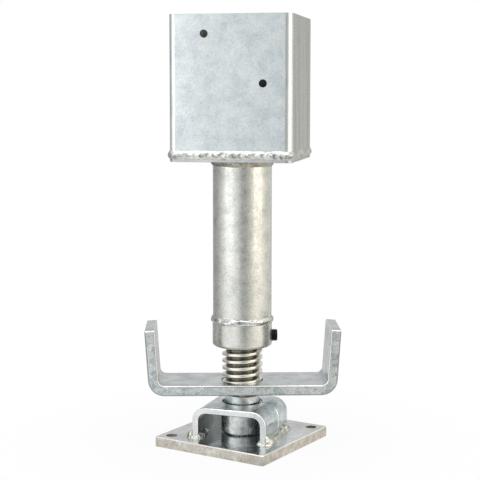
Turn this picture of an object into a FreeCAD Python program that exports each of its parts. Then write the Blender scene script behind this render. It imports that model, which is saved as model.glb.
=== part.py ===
import FreeCAD, Part
import math
import os

# Adjustable steel jack post base with a box head.
# Millimetres, +Z up. The origin is on the spindle's axis, on the underside of the base plate.
# The box head lies square to X and Y. The other pieces are turned about Z by their own angle.

# Base plate, flat bar cut square
PLATE_SIDE = 125.0
PLATE_THICKNESS = 10.0
PLATE_CORNER_RADIUS = 2.0
PLATE_EDGE_CHAMFER = 0.8
PLATE_TURN = -20.7
ANCHOR_HOLE_RADIUS = 5.5
ANCHOR_EDGE_DISTANCE = 12.0

# Bridge over the spindle's foot, two halves bent from flat bar that meet at a seam
BRIDGE_SPAN = 76.0
BRIDGE_HEIGHT = 31.0
BRIDGE_THICKNESS = 6.0
BRIDGE_BEND = 8.0
BRIDGE_FRONT_DEPTH = 40.0
BRIDGE_BACK_DEPTH = 29.0
BRIDGE_EDGE_CHAMFER = 0.6
BRIDGE_TURN = -8.0
SEAM_CHAMFER = 0.8
BEAD_FOOT = 6.8
BEAD_SHOULDER = 5.2
BEAD_SHOULDER_HEIGHT = 3.6
BEAD_CROWN = 1.2
BEAD_HEIGHT = 7.6
BEAD_FRONT_SHARE = 0.3
BEAD_INNER_SHARE = 0.5
BEAD_CORNER_SHARE = 0.7
BEAD_INNER_REACH = 8.0
BEAD_BACK_STOP = 2.0

# Trapezoidal thread, right hand, 30 degrees included
THREAD_RADIUS = 20.0
PITCH = 7.0
THREAD_DEPTH = 4.0
FLANK_ANGLE = 15.0
THREAD_RADIAL_PLAY = 0.5
THREAD_AXIAL_PLAY = 0.25
THREAD_START = -84.0
THREAD_FLATS = 18

# Spindle below the thread
NECK_RADIUS = 17.25
NECK_CLEARANCE = 3.0
FOOT_CATCH = 1.0
FOOT_END_PLAY = 2.0
FOOT_CHAMFER = 1.5
BOSS_RADIUS = 15.0
BOSS_HEIGHT = 1.0
BOSS_GAP = 0.05
SPINDLE_CHAMFER = 4.5

# Yoke, flat bar bent to a U and welded under the thread
YOKE_WIDTH = 60.0
YOKE_THICKNESS = 10.0
YOKE_SPAN = 183.0
YOKE_ARM = 64.3
YOKE_BEND = 6.0
YOKE_SPLAY = 3.8
YOKE_EDGE_CHAMFER = 0.8
YOKE_TURN = 13.3
YOKE_LIFT = 12.2
YOKE_HOLE_CLEARANCE = 0.75
YOKE_WELD_REACH = 6.2
YOKE_WELD_DROP = 4.8

# Nut collar
COLLAR_RADIUS = 29.5
COLLAR_HEIGHT = 23.5
COLLAR_CHAMFER = 2.4
COLLAR_LIFT = 34.8
LEAD_IN = 1.0

# Ring welds: thickness at the feathered edge, and the length of one ripple
WELD_LIP = 0.15
WELD_RIPPLE = 5.0

# Tube, its lower end turned down for the collar weld
TUBE_STEP = 0.5
TUBE_WALL = 5.0
TUBE_LENGTH = 161.0
GROOVE_DEPTH = 2.5
GROOVE_HEIGHT = 6.3
COLLAR_WELD_CROWN = 0.9
TUBE_WELD_REACH = 3.2
TUBE_WELD_DROP = 6.5

# Head plate and post box, square hollow section
BOX_SIDE = 118.0
BOX_WALL = 4.0
BOX_CORNER_RADIUS = 7.0
BOX_HEIGHT = 130.0
HEAD_PLATE_THICKNESS = 8.0
VENT_HOLE_RADIUS = 7.0
BOX_WELD_BELOW = 5.6
BOX_WELD_ABOVE = 2.8
BOX_WELD_CROWN = 1.8

# Post screw holes through the front and back walls
POST_HOLE_RADIUS = 3.75
UPPER_HOLE_ACROSS = -24.5
UPPER_HOLE_DOWN = 18.5
LOWER_HOLE_ACROSS = 31.5
LOWER_HOLE_DOWN = 64.5

# Lock screw in the nut collar
LOCK_RADIUS = 6.0
LOCK_FIT = 0.08
LOCK_STANDOUT = 5.3
LOCK_TIP_GAP = 0.8
LOCK_HEIGHT = 9.8
LOCK_TURN = 12.0
LOCK_CHAMFER = 1.0
SOCKET_ACROSS_FLATS = 6.0
SOCKET_DEPTH = 6.0

# How far the head can be screwed up from the pictured height
HEAD_TRAVEL_UP = 50.0
SPINDLE_TOP_MARGIN = 11.5

# Room that a cutting tool runs past the faces it cuts
CUT_PAST = 5.0
TOLERANCE = 1e-6

# Heights and radii that follow from the sizes above
PLATE_TOP = PLATE_THICKNESS
BRIDGE_TOP = PLATE_TOP + BRIDGE_HEIGHT
BRIDGE_HOLE_RADIUS = NECK_RADIUS + NECK_CLEARANCE
FOOT_RADIUS = BRIDGE_HOLE_RADIUS + FOOT_CATCH
FOOT_LOW = PLATE_TOP + BOSS_HEIGHT
FOOT_TOP = BRIDGE_TOP - BRIDGE_THICKNESS - FOOT_END_PLAY
YOKE_LOW = BRIDGE_TOP + YOKE_LIFT
YOKE_TOP = YOKE_LOW + YOKE_THICKNESS
COLLAR_LOW = YOKE_TOP + COLLAR_LIFT
COLLAR_TOP = COLLAR_LOW + COLLAR_HEIGHT
SPINDLE_TOP = COLLAR_TOP + HEAD_TRAVEL_UP + SPINDLE_TOP_MARGIN
TUBE_RADIUS = COLLAR_RADIUS - TUBE_STEP
TUBE_BORE_RADIUS = TUBE_RADIUS - TUBE_WALL
TUBE_TOP = COLLAR_TOP + TUBE_LENGTH
BOX_LOW = TUBE_TOP + HEAD_PLATE_THICKNESS
BOX_TOP = BOX_LOW + BOX_HEIGHT
LOCK_END = COLLAR_RADIUS + LOCK_STANDOUT
LOCK_TIP = THREAD_RADIUS + LOCK_TIP_GAP

ORIGIN = FreeCAD.Vector(0, 0, 0)
UP = FreeCAD.Vector(0, 0, 1)
ALONG_X = FreeCAD.Vector(1, 0, 0)
ALONG_Y = FreeCAD.Vector(0, 1, 0)


def turned(shape, angle):
    """A copy of the shape turned about the spindle's axis by an angle in degrees."""
    copy = shape.copy()
    copy.rotate(ORIGIN, UP, angle)
    return copy


def rounded_outline(corners, radii):
    """A closed wire through the corners, each an arc of its radius, or sharp where that is 0."""
    turns = []
    for index, corner in enumerate(corners):
        before = (corners[index - 1] - corner).normalize()
        after = (corners[(index + 1) % len(corners)] - corner).normalize()
        half_angle = before.getAngle(after) / 2
        radius = radii[index]
        reach = radius / math.tan(half_angle)
        inward = (before + after).normalize()
        middle = corner + inward * (radius / math.sin(half_angle) - radius)
        turns.append((corner + before * reach, middle, corner + after * reach))
    edges = []
    for index, (start, middle, end) in enumerate(turns):
        if radii[index] > 0:
            edges.append(Part.Arc(start, middle, end).toShape())
        next_start = turns[(index + 1) % len(turns)][0]
        if (next_start - end).Length > TOLERANCE:
            edges.append(Part.makeLine(end, next_start))
    return Part.Wire(edges)


def square_outline(side, radius, height):
    """A square wire about the axis, its corners rounded, at one height."""
    half = side / 2
    signs = [(-1, -1), (1, -1), (1, 1), (-1, 1)]
    corners = [FreeCAD.Vector(half * across, half * along, height) for across, along in signs]
    return rounded_outline(corners, [radius] * len(corners))


def channel_outline(half_span, arm, splay, thickness, bend):
    """Outline of a flat bar bent to a U in the XZ plane, its back on the X axis, its arms up.

    The arms are measured along their outer faces and lean out by the splay angle.
    """
    lean = math.radians(splay)
    outer = []
    inner = []
    for side in (-1, 1):
        corner = FreeCAD.Vector(side * half_span, 0, 0)
        along_arm = FreeCAD.Vector(side * math.sin(lean), 0, math.cos(lean))
        into_bar = FreeCAD.Vector(-side * math.cos(lean), 0, math.sin(lean))
        tip = corner + along_arm * arm
        # the inner corner is where the lines offset from the back and from the arm cross
        shift = thickness * (1 - math.sin(lean)) / math.cos(lean)
        inner_corner = FreeCAD.Vector(side * (half_span - shift), 0, thickness)
        ends = [tip, corner]
        inner_ends = [tip + into_bar * thickness, inner_corner]
        if side > 0:
            ends.reverse()
            inner_ends.reverse()
        outer += ends
        inner += inner_ends
    inner.reverse()
    radii = [0, bend + thickness, bend + thickness, 0, 0, bend, bend, 0]
    return rounded_outline(outer + inner, radii)


def in_plane(edge, axis, distance):
    """Whether both ends of an edge lie in the plane at a distance along an axis."""
    return all(abs(vertex.Point.dot(axis) - distance) < TOLERANCE for vertex in edge.Vertexes)


def revolved_points(points):
    """The solid of a closed polygon of radius and height pairs turned about the Z axis."""
    corners = [FreeCAD.Vector(radius, 0, height) for radius, height in points]
    face = Part.Face(Part.makePolygon(corners + [corners[0]]))
    return face.revolve(ORIGIN, UP, 360)


def ring_points(radius, height, sides):
    """The corners of a closed regular polygon about the axis, the first one repeated at the end."""
    corners = []
    for side in range(sides + 1):
        angle = 2 * math.pi * side / sides
        corners.append(FreeCAD.Vector(radius * math.cos(angle), radius * math.sin(angle), height))
    return corners


def faceted(points, flats):
    """A solid from radius and height pairs up the axis, in flats round it that touch those radii."""
    outwards = 1 / math.cos(math.pi / flats)
    rings = [ring_points(radius * outwards, height, flats) for radius, height in points]
    facets = [Part.Face(Part.makePolygon(rings[0])), Part.Face(Part.makePolygon(rings[-1]))]
    for lower, upper in zip(rings, rings[1:]):
        facets += strip_between(lower, upper, True)
    return sewn(facets)


def ring_weld(points, bore_radius):
    """A ring of weld with one flat for each ripple, open at the bore, from its lip up."""
    low = points[0][1]
    high = points[-1][1]
    ripples = round(2 * math.pi * points[0][0] / WELD_RIPPLE)
    ring = faceted([(radius + WELD_LIP, height) for radius, height in points], ripples)
    return ring.cut(Part.makeCylinder(bore_radius, high - low, UP * low))


def strip_between(lower, upper, is_flat):
    """Facets between two rows of points: one quad for each pair of points, or two triangles."""
    facets = []
    for index in range(len(lower) - 1):
        first, second = lower[index], lower[index + 1]
        third, fourth = upper[index + 1], upper[index]
        loops = [(first, second, third, fourth)]
        if not is_flat:
            loops = [(first, second, third), (first, third, fourth)]
        for loop in loops:
            facets.append(Part.Face(Part.makePolygon(list(loop) + [loop[0]])))
    return facets


def sewn(facets):
    """The solid inside a closed skin of facets."""
    skin = Part.Compound(facets)
    skin.sewShape()
    return Part.Solid(skin.Shells[0])


def ridge_half_width(radius):
    """Half the axial width of the thread's ridge at a radius, equal to the gap at the pitch radius."""
    pitch_radius = THREAD_RADIUS - PITCH / 4
    return PITCH / 4 - math.tan(math.radians(FLANK_ANGLE)) * (radius - pitch_radius)


def helix_points(radius, height):
    """Points of one right-hand turn of a helix, one at each edge between two flats."""
    points = []
    for flat in range(THREAD_FLATS + 1):
        share = flat / THREAD_FLATS
        angle = 2 * math.pi * share + math.radians(THREAD_START)
        across = radius * math.cos(angle)
        along = radius * math.sin(angle)
        points.append(FreeCAD.Vector(across, along, height + PITCH * share))
    return points


def end_cap(section, height):
    """The winding ramp and the upright wall that close a threaded rod across its core."""
    low = height + section[0][1]
    rim = helix_points(section[0][0], low)
    core = [FreeCAD.Vector(0, 0, point.z) for point in rim]
    wall = [FreeCAD.Vector(0, 0, low)]
    start = math.radians(THREAD_START)
    for radius, offset in section:
        wall.append(FreeCAD.Vector(radius * math.cos(start), radius * math.sin(start), height + offset))
    wall.append(FreeCAD.Vector(0, 0, low + PITCH))
    wall.append(wall[0])
    return ramp_facets(core, rim) + [Part.Face(Part.makePolygon(wall))]


def ramp_facets(core, rim):
    """Triangles between the axis and a row of rim points that winds round it."""
    return strip_between(core, rim, False)


def threaded_rod(crest_radius, root_radius, side_play, low, high):
    """A rod whose skin is one helical ridge in flats, with whole turns past both heights."""
    crest = ridge_half_width(crest_radius) + side_play
    root = ridge_half_width(root_radius) + side_play
    section = [
        (crest_radius, -crest),
        (crest_radius, crest),
        (root_radius, root),
        (root_radius, PITCH - root),
        (crest_radius, PITCH - crest),
    ]
    first = (math.floor(low / PITCH) - 1) * PITCH
    turns = math.ceil((high - first) / PITCH) + 1
    rows = [helix_points(radius, first + offset) for radius, offset in section]
    one_turn = []
    for index in range(len(section) - 1):
        is_flat = section[index][0] == section[index + 1][0]
        one_turn += strip_between(rows[index], rows[index + 1], is_flat)
    facets = end_cap(section, first) + end_cap(section, first + turns * PITCH)
    for turn in range(turns):
        facets += [facet.translated(UP * (turn * PITCH)) for facet in one_turn]
    return sewn(facets)


def make_base_plate():
    """Square plate with two anchor holes in opposite corners. Its underside keeps sharp edges."""
    outline = square_outline(PLATE_SIDE, PLATE_CORNER_RADIUS, 0)
    plate = Part.Face(outline).extrude(UP * PLATE_THICKNESS)
    top_edges = [edge for edge in plate.Edges if in_plane(edge, UP, PLATE_THICKNESS)]
    plate = plate.makeChamfer(PLATE_EDGE_CHAMFER, top_edges)
    reach = PLATE_SIDE / 2 - ANCHOR_EDGE_DISTANCE
    for side in (-1, 1):
        foot = FreeCAD.Vector(side * reach, side * reach, -CUT_PAST)
        plate = plate.cut(Part.makeCylinder(ANCHOR_HOLE_RADIUS, PLATE_THICKNESS + 2 * CUT_PAST, foot))
    return turned(plate, PLATE_TURN)


def make_bridge_half(depth, side):
    """One half of the bridge, from the seam at Y = 0 to its end at side times depth."""
    outline = channel_outline(BRIDGE_SPAN / 2, BRIDGE_HEIGHT, 0, BRIDGE_THICKNESS, BRIDGE_BEND)
    half = Part.Face(outline).extrude(ALONG_Y * (side * depth))
    end_edges = [edge for edge in half.Edges if in_plane(edge, ALONG_Y, side * depth)]
    foot_free = [edge for edge in end_edges if not in_plane(edge, UP, BRIDGE_HEIGHT)]
    half = half.makeChamfer(BRIDGE_EDGE_CHAMFER, foot_free)
    half.rotate(ORIGIN, ALONG_X, 180)
    half.rotate(ORIGIN, UP, 180)
    half.translate(UP * BRIDGE_TOP)
    seam_edges = [edge for edge in half.Edges if in_plane(edge, ALONG_Y, 0)]
    outer_edges = [edge for edge in seam_edges if is_outer(edge)]
    half = half.makeChamfer(SEAM_CHAMFER, outer_edges)
    hole_foot = UP * (BRIDGE_TOP - BRIDGE_THICKNESS - CUT_PAST)
    hole = Part.makeCylinder(BRIDGE_HOLE_RADIUS, BRIDGE_THICKNESS + 2 * CUT_PAST, hole_foot)
    return turned(half.cut(hole), BRIDGE_TURN)


def is_outer(edge):
    """Whether an edge of the bridge's seam runs along the outside of the bent bar."""
    at_side = any(abs(abs(vertex.Point.x) - BRIDGE_SPAN / 2) < TOLERANCE for vertex in edge.Vertexes)
    at_top = any(abs(vertex.Point.z - BRIDGE_TOP) < TOLERANCE for vertex in edge.Vertexes)
    at_foot = all(abs(vertex.Point.z - PLATE_TOP) < TOLERANCE for vertex in edge.Vertexes)
    return (at_side or at_top) and not at_foot


def bead_corners(side, width, height):
    """Closed row of points round a bead: wide outside the leg, thinner at its front and inside."""
    outside = side * BRIDGE_SPAN / 2
    inside = outside - side * BRIDGE_THICKNESS
    middle = (outside + inside) / 2
    wide = side * width
    thin = side * width * BEAD_INNER_SHARE
    leg_front = -BRIDGE_FRONT_DEPTH
    front = leg_front - width * BEAD_FRONT_SHARE
    slope = (front + leg_front) / 2
    back_stop = BRIDGE_BACK_DEPTH - BEAD_BACK_STOP
    inner_stop = leg_front + BEAD_INNER_REACH
    places = [
        (outside + wide, back_stop),
        (outside + wide, leg_front),
        (outside + wide * BEAD_CORNER_SHARE, slope),
        (outside, front),
        (inside, front),
        (inside - thin * BEAD_CORNER_SHARE, slope),
        (inside - thin, leg_front),
        (inside - thin, inner_stop),
        (middle, inner_stop),
        (middle, back_stop),
    ]
    corners = [FreeCAD.Vector(across, along, PLATE_TOP + height) for across, along in places]
    if side < 0:
        corners.reverse()
    return corners + [corners[0]]


def make_bridge_weld(side, halves):
    """The bead of one leg: a wide foot, a shoulder and a crown, cut to the two bent halves."""
    layers = ((BEAD_FOOT, 0), (BEAD_SHOULDER, BEAD_SHOULDER_HEIGHT), (BEAD_CROWN, BEAD_HEIGHT))
    rows = [bead_corners(side, width, height) for width, height in layers]
    facets = [Part.Face(Part.makePolygon(rows[0])), Part.Face(Part.makePolygon(rows[-1]))]
    for lower, upper in zip(rows, rows[1:]):
        facets += strip_between(lower, upper, False)
    weld = turned(sewn(facets), BRIDGE_TURN)
    for half in halves:
        weld = weld.cut(half)
    return weld


def make_spindle():
    """Foot, neck and threaded length in one turned piece."""
    foot = revolved_points([
        (0, PLATE_TOP + BOSS_GAP),
        (BOSS_RADIUS, PLATE_TOP + BOSS_GAP),
        (BOSS_RADIUS, FOOT_LOW),
        (FOOT_RADIUS - FOOT_CHAMFER, FOOT_LOW),
        (FOOT_RADIUS, FOOT_LOW + FOOT_CHAMFER),
        (FOOT_RADIUS, FOOT_TOP),
        (NECK_RADIUS, FOOT_TOP),
        (NECK_RADIUS, YOKE_LOW),
        (0, YOKE_LOW),
    ])
    rod = threaded_rod(THREAD_RADIUS, THREAD_RADIUS - THREAD_DEPTH, 0, YOKE_LOW, SPINDLE_TOP)
    past = THREAD_RADIUS + CUT_PAST
    outside = [
        (past, YOKE_LOW),
        (past, SPINDLE_TOP - SPINDLE_CHAMFER - CUT_PAST),
        (THREAD_RADIUS - SPINDLE_CHAMFER, SPINDLE_TOP),
    ]
    envelope = turned(faceted(outside, THREAD_FLATS), THREAD_START)
    return foot.fuse(rod.common(envelope))


def make_yoke():
    """U-bent bar with rounded edges and a hole for the thread."""
    outline = channel_outline(YOKE_SPAN / 2, YOKE_ARM, YOKE_SPLAY, YOKE_THICKNESS, YOKE_BEND)
    outline.translate(ALONG_Y * (-YOKE_WIDTH / 2))
    yoke = Part.Face(outline).extrude(ALONG_Y * YOKE_WIDTH)
    sides = (-YOKE_WIDTH / 2, YOKE_WIDTH / 2)
    rim = [edge for edge in yoke.Edges if any(in_plane(edge, ALONG_Y, side) for side in sides)]
    yoke = yoke.makeChamfer(YOKE_EDGE_CHAMFER, rim)
    hole_radius = THREAD_RADIUS + YOKE_HOLE_CLEARANCE
    hole = Part.makeCylinder(hole_radius, YOKE_THICKNESS + 2 * CUT_PAST, UP * -CUT_PAST)
    yoke = yoke.cut(hole)
    yoke.translate(UP * YOKE_LOW)
    return turned(yoke, YOKE_TURN)


def make_yoke_weld():
    """Fillet weld between the neck and the underside of the yoke."""
    points = [(NECK_RADIUS, YOKE_LOW - YOKE_WELD_DROP), (NECK_RADIUS + YOKE_WELD_REACH, YOKE_LOW)]
    return ring_weld(points, NECK_RADIUS)


def make_nut_collar():
    """Round nut with the inner thread and a hole for the lock screw."""
    blank = revolved_points([
        (0, COLLAR_LOW),
        (COLLAR_RADIUS - COLLAR_CHAMFER, COLLAR_LOW),
        (COLLAR_RADIUS, COLLAR_LOW + COLLAR_CHAMFER),
        (COLLAR_RADIUS, COLLAR_TOP),
        (0, COLLAR_TOP),
    ])
    major = THREAD_RADIUS + THREAD_RADIAL_PLAY
    minor = THREAD_RADIUS - THREAD_DEPTH + THREAD_RADIAL_PLAY
    nut = blank.cut(threaded_rod(major, minor, THREAD_AXIAL_PLAY, COLLAR_LOW, COLLAR_TOP))
    mouth = major + LEAD_IN
    depth = mouth - minor
    for mouth_height, inside in ((COLLAR_LOW, COLLAR_LOW + depth), (COLLAR_TOP, COLLAR_TOP - depth)):
        lead_in = faceted([(mouth, mouth_height), (minor, inside)], THREAD_FLATS)
        nut = nut.cut(turned(lead_in, THREAD_START))
    return nut.cut(lock_hole())


def lock_hole():
    """The space of the lock screw's hole, from inside the nut's bore to past its outside."""
    start = FreeCAD.Vector(THREAD_RADIUS - THREAD_DEPTH, 0, COLLAR_LOW + LOCK_HEIGHT)
    length = COLLAR_RADIUS + CUT_PAST - start.x
    return turned(Part.makeCylinder(LOCK_RADIUS + LOCK_FIT, length, start, ALONG_X), LOCK_TURN)


def make_collar_weld():
    """Weld that fills the tube's groove over the nut's top face and stands proud of both."""
    crown = TUBE_RADIUS + TUBE_STEP / 2 + COLLAR_WELD_CROWN
    points = [
        (COLLAR_RADIUS, COLLAR_TOP),
        (crown, COLLAR_TOP + GROOVE_HEIGHT / 2),
        (TUBE_RADIUS, COLLAR_TOP + GROOVE_HEIGHT),
    ]
    return ring_weld(points, TUBE_RADIUS - GROOVE_DEPTH)


def make_tube():
    """Round tube, its lower end turned down for the weld."""
    return revolved_points([
        (TUBE_BORE_RADIUS, COLLAR_TOP),
        (TUBE_RADIUS - GROOVE_DEPTH, COLLAR_TOP),
        (TUBE_RADIUS - GROOVE_DEPTH, COLLAR_TOP + GROOVE_HEIGHT),
        (TUBE_RADIUS, COLLAR_TOP + GROOVE_HEIGHT),
        (TUBE_RADIUS, TUBE_TOP),
        (TUBE_BORE_RADIUS, TUBE_TOP),
    ])


def make_tube_weld():
    """Fillet weld between the tube and the underside of the head plate."""
    points = [(TUBE_RADIUS, TUBE_TOP - TUBE_WELD_DROP), (TUBE_RADIUS + TUBE_WELD_REACH, TUBE_TOP)]
    return ring_weld(points, TUBE_RADIUS)


def make_head_plate():
    """Plate of the box's outline with a vent hole over the tube."""
    plate = Part.Face(square_outline(BOX_SIDE, BOX_CORNER_RADIUS, TUBE_TOP)).extrude(UP * HEAD_PLATE_THICKNESS)
    foot = UP * (TUBE_TOP - CUT_PAST)
    return plate.cut(Part.makeCylinder(VENT_HOLE_RADIUS, HEAD_PLATE_THICKNESS + 2 * CUT_PAST, foot))


def make_box_weld():
    """Convex bead all round, over the joint between the head plate and the box."""
    half = BOX_SIDE / 2
    low = FreeCAD.Vector(0, -half, BOX_LOW - BOX_WELD_BELOW)
    high = FreeCAD.Vector(0, -half, BOX_LOW + BOX_WELD_ABOVE)
    crown = FreeCAD.Vector(0, -half - BOX_WELD_CROWN, (low.z + high.z) / 2)
    section = Part.makePolygon([low, crown, high, low])
    path = square_outline(BOX_SIDE, BOX_CORNER_RADIUS, low.z)
    return path.makePipeShell([section], True, False)


def make_post_box():
    """Open square hollow section with two screw holes through the front and back walls."""
    outer = Part.Face(square_outline(BOX_SIDE, BOX_CORNER_RADIUS, BOX_LOW)).extrude(UP * BOX_HEIGHT)
    inner_outline = square_outline(BOX_SIDE - 2 * BOX_WALL, BOX_CORNER_RADIUS - BOX_WALL, BOX_LOW - CUT_PAST)
    box = outer.cut(Part.Face(inner_outline).extrude(UP * (BOX_HEIGHT + 2 * CUT_PAST)))
    holes = ((UPPER_HOLE_ACROSS, UPPER_HOLE_DOWN), (LOWER_HOLE_ACROSS, LOWER_HOLE_DOWN))
    for across, down in holes:
        start = FreeCAD.Vector(across, -BOX_SIDE / 2 - CUT_PAST, BOX_TOP - down)
        box = box.cut(Part.makeCylinder(POST_HOLE_RADIUS, BOX_SIDE + 2 * CUT_PAST, start, ALONG_Y))
    return box


def make_lock_screw():
    """Set screw with a flat tip, a chamfered outer end and a hex socket."""
    length = LOCK_END - LOCK_TIP
    body = revolved_points([
        (0, 0),
        (LOCK_RADIUS, 0),
        (LOCK_RADIUS, length - LOCK_CHAMFER),
        (LOCK_RADIUS - LOCK_CHAMFER, length),
        (0, length),
    ])
    corner_radius = SOCKET_ACROSS_FLATS / math.sqrt(3)
    corners = []
    for index in range(7):
        angle = math.radians(60 * index)
        across = corner_radius * math.cos(angle)
        along = corner_radius * math.sin(angle)
        corners.append(FreeCAD.Vector(across, along, length - SOCKET_DEPTH))
    socket = Part.Face(Part.makePolygon(corners)).extrude(UP * (SOCKET_DEPTH + CUT_PAST))
    screw = body.cut(socket)
    screw.rotate(ORIGIN, ALONG_Y, 90)
    screw.translate(FreeCAD.Vector(LOCK_TIP, 0, COLLAR_LOW + LOCK_HEIGHT))
    return turned(screw, LOCK_TURN)


def whole(shape):
    """The single solid of a shape, taken out of any compound that a cut or a fuse left."""
    if len(shape.Solids) != 1:
        raise ValueError("a piece came out as %d solids" % len(shape.Solids))
    return shape.Solids[0]


def main():
    """Makes every piece and writes it to its own file."""
    plate = make_base_plate()
    front = make_bridge_half(BRIDGE_FRONT_DEPTH, -1)
    back = make_bridge_half(BRIDGE_BACK_DEPTH, 1)
    pieces = {
        "base_plate": plate,
        "bridge_front": front,
        "bridge_back": back,
        "bridge_weld_left": make_bridge_weld(-1, [front, back]),
        "bridge_weld_right": make_bridge_weld(1, [front, back]),
        "spindle": make_spindle(),
        "yoke": make_yoke(),
        "yoke_weld": make_yoke_weld(),
        "nut_collar": make_nut_collar(),
        "collar_weld": make_collar_weld(),
        "tube": make_tube(),
        "tube_weld": make_tube_weld(),
        "head_plate": make_head_plate(),
        "box_weld": make_box_weld(),
        "post_box": make_post_box(),
        "lock_screw": make_lock_screw(),
    }
    os.makedirs("parts", exist_ok=True)
    for name, shape in pieces.items():
        whole(shape).exportStep("parts/%s.step" % name)


main()
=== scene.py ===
"""Adjustable steel jack post base with a box head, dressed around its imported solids."""
import logging
import math
from collections.abc import Iterator
from contextlib import contextmanager
from dataclasses import dataclass, replace
from enum import Enum, IntEnum

import bmesh
import bpy
import numpy as np
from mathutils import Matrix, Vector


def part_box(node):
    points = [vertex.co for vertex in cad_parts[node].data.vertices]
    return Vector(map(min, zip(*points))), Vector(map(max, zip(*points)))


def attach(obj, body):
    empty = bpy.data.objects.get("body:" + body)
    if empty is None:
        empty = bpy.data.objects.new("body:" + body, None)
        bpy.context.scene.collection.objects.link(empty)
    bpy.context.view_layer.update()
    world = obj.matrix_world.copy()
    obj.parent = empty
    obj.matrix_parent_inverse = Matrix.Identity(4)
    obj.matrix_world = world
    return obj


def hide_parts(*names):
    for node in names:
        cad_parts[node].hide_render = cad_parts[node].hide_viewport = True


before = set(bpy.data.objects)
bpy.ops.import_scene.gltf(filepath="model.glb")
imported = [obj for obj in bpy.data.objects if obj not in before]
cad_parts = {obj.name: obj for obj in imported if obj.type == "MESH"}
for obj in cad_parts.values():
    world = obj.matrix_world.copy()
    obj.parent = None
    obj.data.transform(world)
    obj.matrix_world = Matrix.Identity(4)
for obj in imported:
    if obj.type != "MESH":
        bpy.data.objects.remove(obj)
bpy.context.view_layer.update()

LOG = logging.getLogger("jack_post_base")

MM = 0.001
FULL_TURN = 2 * math.pi
MERGE_DISTANCE = 2e-7
SWING_REACH = 3.0 * MM
WHITE = "#ffffff"
# A colour mix has its sockets after those of the number and the vector mix.
MIX_UNDER, MIX_OVER, MIX_RESULT = 6, 7, 2
Profile = list[tuple[float, float]]
Socket = bpy.types.NodeSocket
Colour = tuple[float, float, float, float]


def linear(hex_colour: str) -> Colour:
    """Turn an sRGB hex colour into the linear colour that a shader takes.

    Args:
        hex_colour: six hex digits after a hash.

    Returns:
        Linear red, green and blue, and an alpha of 1.
    """
    channels = [int(hex_colour[start:start + 2], 16) / 255 for start in (1, 3, 5)]
    made = [value / 12.92 if value <= 0.04045 else ((value + 0.055) / 1.055) ** 2.4 for value in channels]
    return (made[0], made[1], made[2], 1.0)


def per_metre(millimetres: float) -> float:
    """Scale of a procedural pattern whose features are so many millimetres wide."""
    return 1000.0 / millimetres


class Shader:
    """A node tree that starts with its coordinates and is filled one node at a time."""

    def __init__(self, owner: bpy.types.Material | bpy.types.World, coordinates: str = "Object") -> None:
        """Turn the owner's nodes on, clear them and find the place or direction that is shaded."""
        owner.use_nodes = True
        self.owner = owner
        self.tree = owner.node_tree
        self.tree.nodes.clear()
        self.place = self.add("ShaderNodeTexCoord", output=coordinates)

    def add(
        self, kind: str, sockets: dict | None = None, output: str | int = 0,
        stops: tuple[tuple[float, str], ...] = (), **settings,
    ) -> Socket | None:
        """Add one node with its settings, socket values and incoming links.

        Args:
            kind: Blender's name of the node type.
            sockets: input name or number to a value, a hex colour or another node's output.
            output: name or number of the output that is wanted.
            stops: positions from 0 to 1 with their hex colours, for a colour ramp.
            settings: properties of the node itself.

        Returns:
            The wanted output, or None for a node without outputs.
        """
        node = self.tree.nodes.new(kind)
        for key, value in settings.items():
            setattr(node, key, value)
        for key, value in (sockets or {}).items():
            if isinstance(value, Socket):
                self.tree.links.new(value, node.inputs[key])
            else:
                node.inputs[key].default_value = linear(value) if isinstance(value, str) else value
        if stops:
            elements = node.color_ramp.elements
            while len(elements) < len(stops):
                elements.new(0.5)
            for element, (position, colour) in zip(elements, stops):
                element.position = position
                element.color = linear(colour)
        return node.outputs[output] if node.outputs else None


@dataclass(frozen=True)
class Layer:
    """A colour laid over a tone, by a share that runs from low to high while a value runs its span.

    Without a value the share is the high one everywhere.
    """

    colour: Socket | str
    value: Socket | None = None
    start: float = 0.0
    end: float = 1.0
    low: float = 0.0
    high: float = 1.0

    def over(self, shader: Shader, tone: Socket) -> Socket:
        """Lay the colour over a tone.

        Args:
            shader: the tree being built.
            tone: what shows where the share is 0.

        Returns:
            The tone with the layer on it.
        """
        share = self.high
        if self.value is not None:
            span = {"Value": self.value, "From Min": self.start, "From Max": self.end}
            share = shader.add("ShaderNodeMapRange", {**span, "To Min": self.low, "To Max": self.high})
        sockets = {"Factor": share, MIX_UNDER: tone, MIX_OVER: self.colour}
        return shader.add("ShaderNodeMix", sockets, MIX_RESULT, data_type="RGBA")


@dataclass(frozen=True)
class Finish:
    """A metal surface, whose kinds say how it takes and gives back light."""

    name: str

    def build(self) -> bpy.types.Material:
        """Make the material out of the metal's inputs."""
        shader = Shader(bpy.data.materials.new(self.name))
        surface = shader.add("ShaderNodeBsdfPrincipled", self.metal(shader))
        shader.add("ShaderNodeOutputMaterial", {"Surface": surface})
        return shader.owner

    def metal(self, shader: Shader) -> dict[str, Socket | float]:
        """The inputs of the metal: each kind of finish has its own."""
        raise NotImplementedError


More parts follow.
